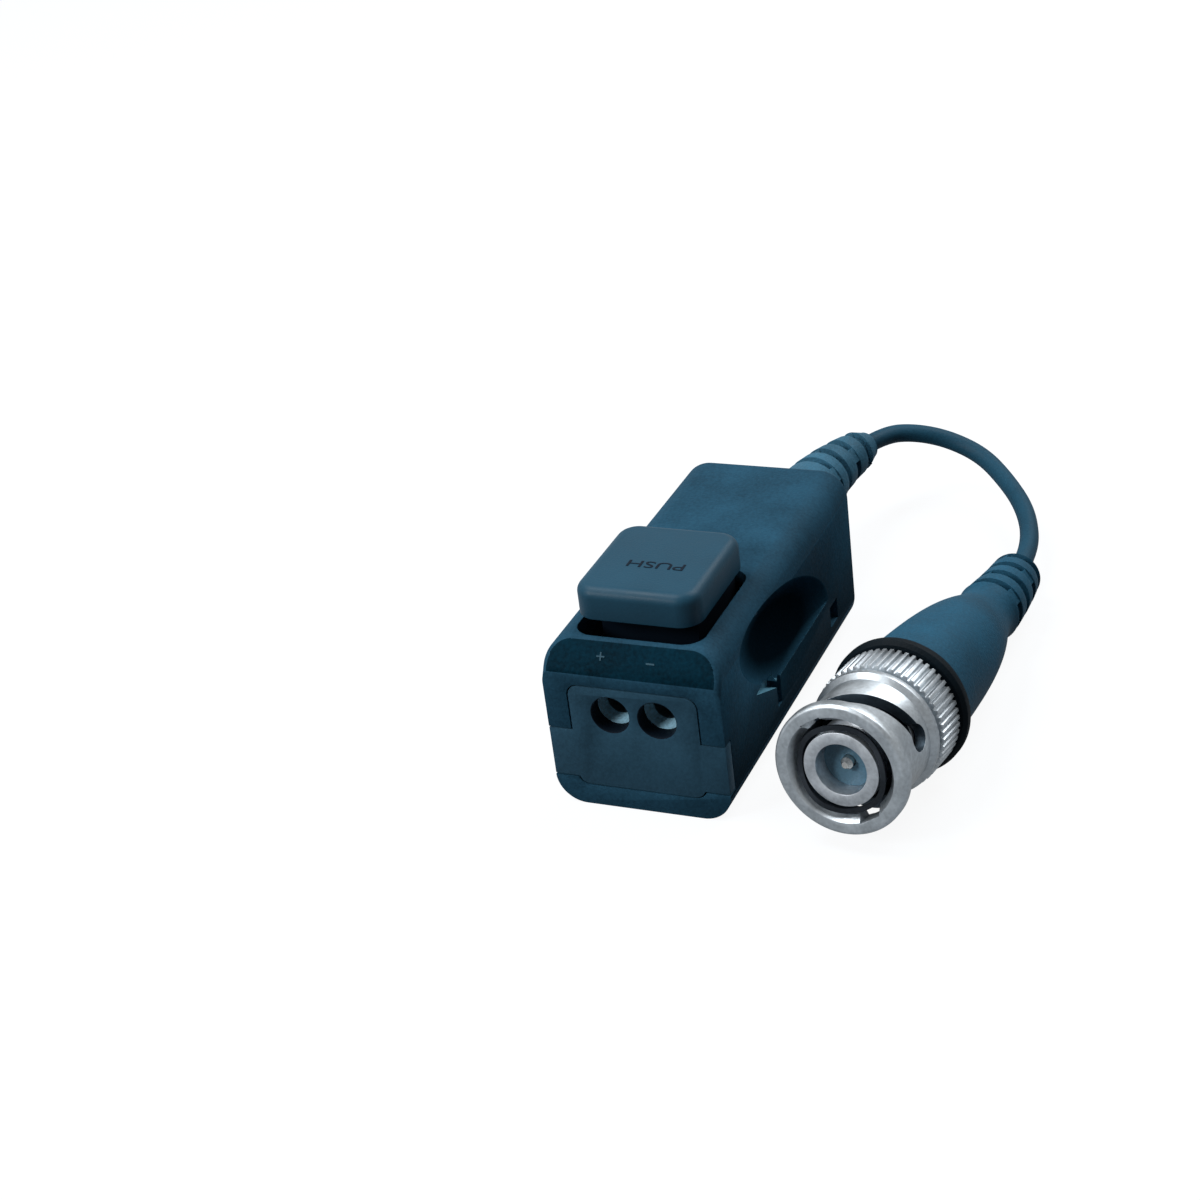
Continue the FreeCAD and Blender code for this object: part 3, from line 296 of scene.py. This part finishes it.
def finish_surface(made, link, shader, effect, colour, tone, rough):
    """Links the tone, the wandering roughness and the relief of an effect to a material."""
    link(tinted(made, link, colour, tone), shader["Base Color"])
    wandering = remapped(made, link, effect["Polish"], rough - ROUGHNESS_WANDERS, rough + ROUGHNESS_WANDERS)
    link(wandering, shader["Roughness"])
    link(effect["Normal"], shader["Normal"])


def moulded(name, colour, rough, size, height, patches=0.12, specular=0.5, coat=0.0, painted_shade_before=None):
    """A moulded plastic or rubber. Its painted shade, when it has one, is handed on to past."""
    material, shader, made, link = start_material(name, colour, rough, specular=specular, coat=coat)
    effect = surface_effect(made, grain, Size=size, Height=height, Patches=patches)
    tone = effect["Tone"]
    if painted_shade_before:
        tone = arithmetic(made, link, "MULTIPLY", tone, past(made, link, *painted_shade_before))
    finish_surface(made, link, shader, effect, colour, tone, rough)
    return material


def turned_metal(name, colour, rough, along):
    material, shader, made, link = start_material(name, colour, rough, metallic=1.0)
    effect = surface_effect(made, turned_lines, Along=along, Spacing=0.06, Height=0.15)
    finish_surface(made, link, shader, effect, colour, effect["Shade"], rough)
    return material


# %% The finishes
AXIS_X, AXIS_Y, AXIS_Z = Vector((1, 0, 0)), Vector((0, 1, 0)), Vector((0, 0, 1))
PLUG_AXIS = Vector((0.102211, 0.989071, -0.106264))
NUT_START = Vector((22.85, -24.0, 9.42))
LIP_PAINTED_SHADE_END = (NUT_START * MM).dot(PLUG_AXIS) + 17.9 * MM
HALF_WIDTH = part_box("housing_shell")[1].x
# Sizes of painted shade: in the finger hollows, low on the sides, and deep in the entries.
HOLLOW_PAINTED_SHADE_FADE = 1.1 * MM
SIDE_PAINTED_SHADE_BELOW, SIDE_PAINTED_SHADE_FADE = 4 * MM, 11 * MM
ENTRY_PAINTED_SHADE_BEHIND = 19.1 * MM

housing_plastic = moulded("housing_plastic", (0.015, 0.055, 0.092), 0.60, 0.34, 0.6, 0.38, specular=0.03)
# Painted light and shade: the sides are lighter than the housing and darker towards the floor.
side_painted_light_and_shade = moulded("side_painted_light_and_shade", (0.020, 0.074, 0.123), 0.60, 0.34, 0.6, 0.38, specular=0.012,
                       painted_shade_before=(AXIS_Z, SIDE_PAINTED_SHADE_BELOW, SIDE_PAINTED_SHADE_FADE, 0.25))
# Painted shade: the finger hollows darken with their depth.
hollow_painted_shade = moulded("hollow_painted_shade", (0.015, 0.055, 0.092), 0.60, 0.34, 0.5, 0.30, specular=0.0,
                         painted_shade_before=(AXIS_X, HALF_WIDTH - HOLLOW_PAINTED_SHADE_FADE, HOLLOW_PAINTED_SHADE_FADE, 0.14, True))
# Painted light: the ramps and the rail's edge are pale where they catch light.
ramp_and_rail_painted_light = moulded("ramp_and_rail_painted_light", (0.09, 0.24, 0.33), 0.5, 0.3, 0.4, 0.20, specular=0.1)
# Painted reflection: the polished bevel above the entries is near black for the dark it reflects.
band_painted_dark_reflection = moulded("band_painted_dark_reflection", (0.001, 0.015, 0.027), 0.55, 0.42, 0.5, 0.80, specular=0.02)
panel_plastic = moulded("panel_plastic", (0.023, 0.066, 0.104), 0.56, 0.34, 0.4, 0.28, specular=0.06)
button_plastic = moulded("button_plastic", (0.011, 0.050, 0.084), 0.42, 0.24, 0.2, 0.12, specular=0.14)
# The block is near black; the same finish is painted shade on the panel's entry walls and the button's neck.
block_plastic = moulded("block_plastic", (0.002, 0.006, 0.012), 0.6, 0.3, 0.2, specular=0.10)
# Painted light and shade: the funnels' lower left is pale as if lit from above, and they darken deeper in.
funnel_painted_light_and_shade = moulded("funnel_painted_light_and_shade", (0.24, 0.44, 0.56), 0.40, 0.30, 0.5, 0.60, specular=0.35,
                         painted_shade_before=(-AXIS_Y, ENTRY_PAINTED_SHADE_BEHIND))
relief_rubber = moulded("relief_rubber", (0.030, 0.104, 0.164), 0.56, 0.30, 0.6, 0.45, specular=0.10)
# Painted shade: the boot darkens on its lip, in the gap behind the nut.
boot_rubber = moulded("boot_rubber", (0.013, 0.066, 0.114), 0.58, 0.30, 0.6, 0.40, specular=0.08,
                      painted_shade_before=(PLUG_AXIS, LIP_PAINTED_SHADE_END))
jacket_rubber = moulded("jacket_rubber", (0.009, 0.048, 0.082), 0.55, 0.3, 0.35, 0.25, specular=0.10)
seal_rubber = moulded("seal_rubber", (0.002, 0.006, 0.012), 0.6, 0.2, 0.3, specular=0.15)
mark_dark = moulded("mark_dark", (0.001, 0.006, 0.014), 0.5, 0.2, 0.2, specular=0.10)
mark_light = moulded("mark_light", (0.030, 0.080, 0.115), 0.5, 0.2, 0.2, specular=0.1)
insulator_plastic = moulded("insulator_plastic", (0.070, 0.150, 0.210), 0.40, 0.3, 0.5, 0.35, specular=0.3)
chip_black = moulded("chip_black", (0.010, 0.010, 0.011), 0.55, 0.15, 0.3)
board_green = moulded("board_green", (0.012, 0.070, 0.035), 0.3, 0.4, 0.15, 0.1, coat=0.4)
ferrite = moulded("ferrite", (0.030, 0.028, 0.028), 0.75, 0.12, 0.6, 0.2)
enamel = moulded("enamel", (0.30, 0.07, 0.02), 0.25, 0.3, 0.15, 0.1, coat=0.5)
nickel = turned_metal("nickel", (0.44, 0.485, 0.52), 0.42, PLUG_AXIS)
# Painted shade: the inside of the nut and its cam slots are near black, and duller.
nut_inside_painted_shade = turned_metal("nut_inside_painted_shade", (0.05, 0.07, 0.09), 0.50, PLUG_AXIS)
inner_nickel = turned_metal("inner_nickel", (0.54, 0.58, 0.62), 0.40, PLUG_AXIS)
black_steel = turned_metal("black_steel", (0.030, 0.036, 0.044), 0.55, PLUG_AXIS)
spring_steel = turned_metal("spring_steel", (0.62, 0.63, 0.65), 0.3, AXIS_Z)
contact_brass = turned_metal("contact_brass", (0.72, 0.50, 0.22), 0.3, AXIS_Z)
pin_silver = turned_metal("pin_silver", (0.62, 0.62, 0.60), 0.30, PLUG_AXIS)
copper = turned_metal("copper", (0.80, 0.42, 0.26), 0.3, AXIS_Y)

# %% [markdown]
# Each node has a slot, which the record names, and a finish. Most finishes have their slot's name.

# %% Slots and finishes of the nodes
FINISH = {
    "housing_shell": ("housing_plastic", housing_plastic), "front_panel": ("panel_plastic", panel_plastic),
    "terminal_block": ("block_plastic", block_plastic), "push_button": ("button_plastic", button_plastic),
    "contact_left": ("contact_brass", contact_brass), "contact_right": ("contact_brass", contact_brass),
    "return_spring": ("spring_steel", spring_steel), "circuit_board": ("board_laminate", board_green),
    "transformer_core": ("ferrite", ferrite), "primary_winding": ("enamelled_copper", enamel),
    "secondary_winding": ("enamelled_copper", enamel), "surge_suppressor": ("chip_black", chip_black),
    "chip_resistor": ("chip_black", chip_black), "housing_relief": ("relief_rubber", relief_rubber),
    "cable_end": ("jacket", jacket_rubber), "core_wire": ("copper_wire", copper),
    "shield_wire": ("copper_wire", copper), "coupling_nut": ("nickel", nickel),
    "plug_body": ("inner_nickel", inner_nickel), "wave_washer": ("spring_steel", black_steel),
    "thrust_washer": ("inner_nickel", inner_nickel), "retaining_ring": ("spring_steel", spring_steel),
    "gasket": ("seal_rubber", seal_rubber), "insulator": ("insulator_plastic", insulator_plastic),
    "centre_pin": ("contact_brass", pin_silver), "crimp_ferrule": ("inner_nickel", inner_nickel),
    "plug_boot": ("boot_rubber", boot_rubber), "cable": ("jacket", jacket_rubber),
}
BODY_OF = {name: body for body, members in frame["record"]["behaviour"]["bodies"].items() for name in members}
for name, (slot_name, material) in FINISH.items():
    nodes[name].data.materials.clear()
    nodes[name].data.materials.append(material)
print("finishes on", len(FINISH), "nodes")

# %% [markdown]
# ## The lead
#
# A lead has a fixed length and bends in one smooth line, so it is a curve with a round bevel.
# Its control points are the route that the part's source gives; the spline cuts inside their
# corners as the real jacket does.

# %% Lead
LEAD_RADIUS = 1.15 * MM
LEAD_ROUTE = [
    (3.43, 48.36, 9.5), (4.9, 51.98, 9.5), (8.0, 54.9, 8.6), (12.0, 56.2, 7.3), (16.7, 55.0, 5.9),
    (20.8, 50.7, 4.8), (24.4, 45.3, 4.1), (26.6, 39.6, 3.5), (27.37, 34.33, 3.17), (27.54, 29.76, 3.65)]

line = bpy.data.curves.new("lead", "CURVE")
line.dimensions = "3D"
line.bevel_depth = LEAD_RADIUS
line.bevel_resolution = 6
line.resolution_u = 12
line.use_fill_caps = True
spline = line.splines.new("NURBS")
spline.points.add(len(LEAD_ROUTE) - 1)
for point, spot in zip(spline.points, LEAD_ROUTE):
    point.co = (*(value * MM for value in spot), 1)
spline.order_u = 3
spline.use_endpoint_u = True
lead = bpy.data.objects.new("lead", line)
bpy.context.scene.collection.objects.link(lead)
settle(lead, "base", "jacket", jacket_rubber, "cable")

# %% [markdown]
# ## Softened copies of the solids
#
# The solids have the right shapes, but a real moulding has no razor edges: each one catches a
# thin light. A copy of the solid is merged into one surface, its flat facets are joined, and a
# small bevel breaks its sharp edges. The entry block is deep in the housing and needs none.

# %% Softened copies
MERGE_WITHIN = 0.002 * MM
FLAT_WITHIN, BEVEL_FROM, SMOOTH_UP_TO = (math.radians(angle) for angle in (0.6, 38, 40))


def softened(node_name, piece_name, width):
    """A copy of a node under a new name, with its sharp edges bevelled by a width in mm."""
    pick(nodes[node_name])
    bpy.ops.object.duplicate()
    copy = bpy.context.object
    copy.name = piece_name
    for key in [k for k in copy.keys() if k.startswith("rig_")]:
        del copy[key]
    copy.parent = None
    copy.matrix_world = Matrix.Identity(4)
    pick(copy)
    if copy.data.has_custom_normals:
        bpy.ops.mesh.customdata_custom_splitnormals_clear()
    bpy.ops.object.mode_set(mode="EDIT")
    bpy.ops.mesh.select_all(action="SELECT")
    bpy.ops.mesh.remove_doubles(threshold=MERGE_WITHIN)
    bpy.ops.mesh.dissolve_limited(angle_limit=FLAT_WITHIN)
    bpy.ops.object.mode_set(mode="OBJECT")
    if width:
        bevel = copy.modifiers.new("broken_edges", "BEVEL")
        bevel.width = width * MM
        bevel.segments = 2
        bevel.limit_method = "ANGLE"
        bevel.angle_limit = BEVEL_FROM
        bevel.use_clamp_overlap = True
        bpy.ops.object.modifier_apply(modifier=bevel.name)
    bpy.ops.object.shade_smooth_by_angle(angle=SMOOTH_UP_TO)
    print(piece_name, len(copy.data.polygons), "faces")
    return copy


pieces = {}
for node_name, piece_name, width in (
        ("housing_shell", "housing", 0.22), ("front_panel", "entry_panel", 0.12), ("push_button", "button", 0.2),
        ("coupling_nut", "bayonet_nut", 0.08), ("plug_body", "plug_barrel", 0.08),
        ("insulator", "plug_insulator", 0.08), ("housing_relief", "rear_relief", 0.14),
        ("plug_boot", "boot", 0.14), ("terminal_block", "entry_block", 0)):
    slot_name, material = FINISH[node_name]
    pieces[piece_name] = settle(softened(node_name, piece_name, width), BODY_OF[node_name], slot_name, material,
                                node_name)

# %% [markdown]
# ## Second finishes
#
# The bevel above the entries is polished, and its near-black colour is a painted dark reflection.
# The sides are painted lighter as painted light and darker towards the floor as painted shade, the
# finger hollows darker with their depth as painted shade, and the rail's edge and the ramps pale as
# painted light. The entries end in funnels of the terminal block, painted pale at their lower left
# as painted light and darker deeper in as painted shade; the walls of the panel's entries are painted
# near black as painted shade. The nut's inside and its two cam slots are duller and painted dark as
# painted shade, and so is the button's neck under its cap. The faces are picked by their place and
# direction, in millimetres, with the sizes that the part's source gives.


# %% Faces of the housing with a finish of their own
def refinish(piece_name, material, chosen):
    """Gives a further material to the faces that a test on their centre and normal picks."""
    thing = pieces[piece_name]
    thing.data.materials.append(material)
    count = 0
    for face in thing.data.polygons:
        if chosen(face.center / MM, face.normal):
            face.material_index = len(thing.data.materials) - 1
            count += 1
    print(piece_name, count, "faces in", material.name)


BAND_NORMAL = Vector((0, -0.856, 0.517))
FILLET_FROM = 15
HOUSING_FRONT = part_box("housing_shell")[0].y / MM
HOLLOW_TILT = math.radians(18)
HOLLOW_FROM_FRONT, HOLLOW_HEIGHT, HOLLOW_DEPTH = 20.0, 12.0, 1.8
HOLLOW_HALF_LENGTH, HOLLOW_HALF_HEIGHT = 15.0, 5.6
RAIL_TOP = 7.9
RAMP_NEAR, RAMP_FAR, RAMP_LOW, RAMP_HIGH, RAMP_DEPTH = 9.8, 15.75, 7.0, 10.2, 1.15


def in_band(spot, normal):
    return normal.dot(BAND_NORMAL) > 0.97 and spot.z > FILLET_FROM


def side_depth(spot, normal):
    """How deep a place lies in the nearer side, and how far its face looks out of that side."""
    return HALF_WIDTH / MM - abs(spot.x), normal.x * math.copysign(1, spot.x)


def on_side(spot, normal):
    deep, out = side_depth(spot, normal)
    return out > 0.995 and deep < 0.02


def in_ramp(spot, normal):
    """The flat faces of the pocket in front of a rail."""
    deep, out = side_depth(spot, normal)
    beside = RAMP_NEAR < spot.y - HOUSING_FRONT < RAMP_FAR and RAMP_LOW < spot.z < RAMP_HIGH
    return beside and 0.03 < deep < RAMP_DEPTH and (abs(out) < 0.001 or out > 0.999)


def in_hollow(spot, normal):
    """The tilted bowl above a rail, and the shelf that the rail cuts it off with."""
    deep, out = side_depth(spot, normal)
    along, above = spot.y - HOUSING_FRONT - HOLLOW_FROM_FRONT, spot.z - HOLLOW_HEIGHT
    lengthways = along * math.cos(HOLLOW_TILT) - above * math.sin(HOLLOW_TILT)
    upward = along * math.sin(HOLLOW_TILT) + above * math.cos(HOLLOW_TILT)
    outline = math.hypot(lengthways / HOLLOW_HALF_LENGTH, upward / HOLLOW_HALF_HEIGHT) < 1
    within = outline and 0.01 < deep < HOLLOW_DEPTH and spot.z > RAIL_TOP - 0.1
    shelf = normal.z > 0.9 and abs(spot.z - RAIL_TOP) < 0.1
    bowl = out > 0.3 and (abs(normal.y) > 0.001 or spot.z < FILLET_FROM)
    return within and (bowl or shelf) and not in_ramp(spot, normal)


def on_rail_edge(spot, normal):
    deep, out = side_depth(spot, normal)
    return deep < 0.3 and 0.3 < out < 0.95 and normal.z > 0.3 and abs(spot.z - RAIL_TOP) < 0.2


# Painted light, shade and reflection on the housing: the band, the sides, the hollows, the ramps and the rail's
# edge.
refinish("housing", band_painted_dark_reflection, in_band)
refinish("housing", side_painted_light_and_shade, on_side)
refinish("housing", hollow_painted_shade, in_hollow)
# Painted light on the ramps and the rail's edge.
refinish("housing", ramp_and_rail_painted_light, lambda spot, normal: in_ramp(spot, normal) or on_rail_edge(spot, normal))

# %% Faces of the entries, the nut and the button with a finish of their own
ENTRY_SIDE, ENTRY_HEIGHT, ENTRY_RADIUS, ENTRY_DEPTH = 2.65, 11.6, 2.2, 3.1
BLOCK_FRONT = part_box("terminal_block")[0].y / MM
NUT_BORE, SLOT_OUTSIDE = 5.2, 6.33
SLOT_START, SLOT_END = 2.0, 8.2
CAP_BOTTOM = 21.15


def beside_entry(spot):
    """How far a place is to the right of and above the nearer entry's axis."""
    return spot.x - math.copysign(ENTRY_SIDE, spot.x), spot.z - ENTRY_HEIGHT


def in_entry(spot, normal):
    in_reach = math.hypot(*beside_entry(spot)) < ENTRY_RADIUS and spot.y < BLOCK_FRONT + ENTRY_DEPTH
    return in_reach and abs(normal.y) < 0.95


def funnel_painted_light_faces(spot, normal):
    """The lower left of a funnel, painted pale as painted light from above."""
    across, above = beside_entry(spot)
    return in_entry(spot, normal) and across * 0.64 + above * 0.77 < 0.25


def inside_nut(spot, normal):
    along = (spot - NUT_START).dot(PLUG_AXIS)
    from_axis = spot - NUT_START - PLUG_AXIS * along
    radius, outward = from_axis.length, from_axis.normalized().dot(normal)
    bore = radius < NUT_BORE and outward < -0.97
    slot = 5.0 < radius < SLOT_OUTSIDE and SLOT_START < along < SLOT_END
    return bore or slot


# Painted light on the funnels' lower left.
refinish("entry_block", funnel_painted_light_and_shade, funnel_painted_light_faces)
# Painted shade: the walls of the panel's entries are near black.
refinish("entry_panel", block_plastic, in_entry)
# Painted shade on the nut's inside and its cam slots.
refinish("bayonet_nut", nut_inside_painted_shade, inside_nut)
# Painted shade: the button's neck under its cap is near black.
refinish("button", block_plastic, lambda spot, normal: spot.z < CAP_BOTTOM - 0.05)

# %% [markdown]
# ## Marks
#
# The button says PUSH, and the bevel above the two entries carries a plus and a minus. They are
# generic function marks, set in plain letters. Text becomes a mesh before its place is applied.

# %% Marks
MARK_SIZE = 1.9 * MM


def mark(name, words, height, place, body, slot_name, material):
    bpy.ops.object.text_add()
    letters = bpy.context.object
    letters.data.body = words
    letters.data.size = MARK_SIZE
    letters.data.extrude = height * MM
    letters.data.align_x = "CENTER"
    letters.data.align_y = "CENTER"
    letters.data.resolution_u = 4
    pick(letters)
    bpy.ops.object.convert(target="MESH")
    letters = bpy.context.object
    letters.name = name
    letters.matrix_world = place
    return settle(letters, body, slot_name, material)


def stretched(factor):
    return Matrix.Diagonal((factor, 1, 1, 1))


CAP_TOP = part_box("push_button")[1].z
facing_back = (Matrix.Translation((0.38 * MM, -12.9 * MM, CAP_TOP)) @ Matrix.Rotation(math.pi, 4, "Z")
               @ stretched(1.48))
mark("push_letters", "PUSH", 0.04, facing_back, "button", "button_plastic", mark_dark)
BAND_SLOPE = math.atan2(3.4, 2.05)
for name, sign, side, stretch in (("plus_mark", "+", -3.35, 1.0), ("minus_mark", "-", 2.25, 2.0)):
    on_band = (Matrix.Translation((side * MM, -21.2 * MM, 17.95 * MM)) @ Matrix.Rotation(BAND_SLOPE, 4, "X")
               @ stretched(stretch))
    mark(name, sign, 0.06, on_band, "base", "housing_plastic", mark_light)

# %% [markdown]
# ## Floor and light
#
# A grey floor and a dim world show as white to the camera and as pale to reflections, and keep
# the shade under the part deep. A large soft lamp from the upper left lights the top, one from
# the front left lights the front, and one from behind on the right grazes the side and the boot.


# %% Floor and world
def camera_and_glossy(made, link, glossy_share):
    """1 for what the camera sees, a share of it for reflections, and 0 for the rest."""
    seen = made.new("ShaderNodeLightPath").outputs
    return arithmetic(made, link, "MULTIPLY_ADD", seen["Is Glossy Ray"], glossy_share, seen["Is Camera Ray"])


bpy.ops.mesh.primitive_plane_add(size=3)
floor = bpy.context.object
floor.name = "floor"
floor.location.z = -0.02 * MM
paper, surface, made, link = start_material("paper", (0.07, 0.085, 0.10), 0.9, specular=0.1)
surface["Emission Color"].default_value = (1, 1, 1, 1)
link(arithmetic(made, link, "MULTIPLY", camera_and_glossy(made, link, 0.36), 0.92), surface["Emission Strength"])
floor.data.materials.append(paper)

world = bpy.data.worlds.new("studio")
bpy.context.scene.world = world
world.use_nodes = True
made, link = world.node_tree.nodes, world.node_tree.links.new
sky = made["Background"].inputs
sky["Color"].default_value = (1, 1, 1, 1)
link(remapped(made, link, camera_and_glossy(made, link, 0.5), 0.06, 1.0, 0.0, 1.0), sky["Strength"])

# %% Lamps
LAMPS_AIM_AT = Vector((0.01, 0.0, 0.01))


def lamp(name, place, size, power):
    bpy.ops.object.light_add(type="AREA", location=place)
    light = bpy.context.object
    light.name = name
    light.data.size = size
    light.data.energy = power
    light.rotation_euler = (LAMPS_AIM_AT - Vector(place)).to_track_quat("-Z", "Y").to_euler()


lamp("key", (-0.22, -0.06, 0.50), 0.24, 2.2)
lamp("fill", (-0.34, -0.44, 0.34), 0.16, 2.5)
lamp("rim", (0.17, 0.30, 0.43), 0.34, 2.2)

# %% The end
bpy.context.view_layer.update()
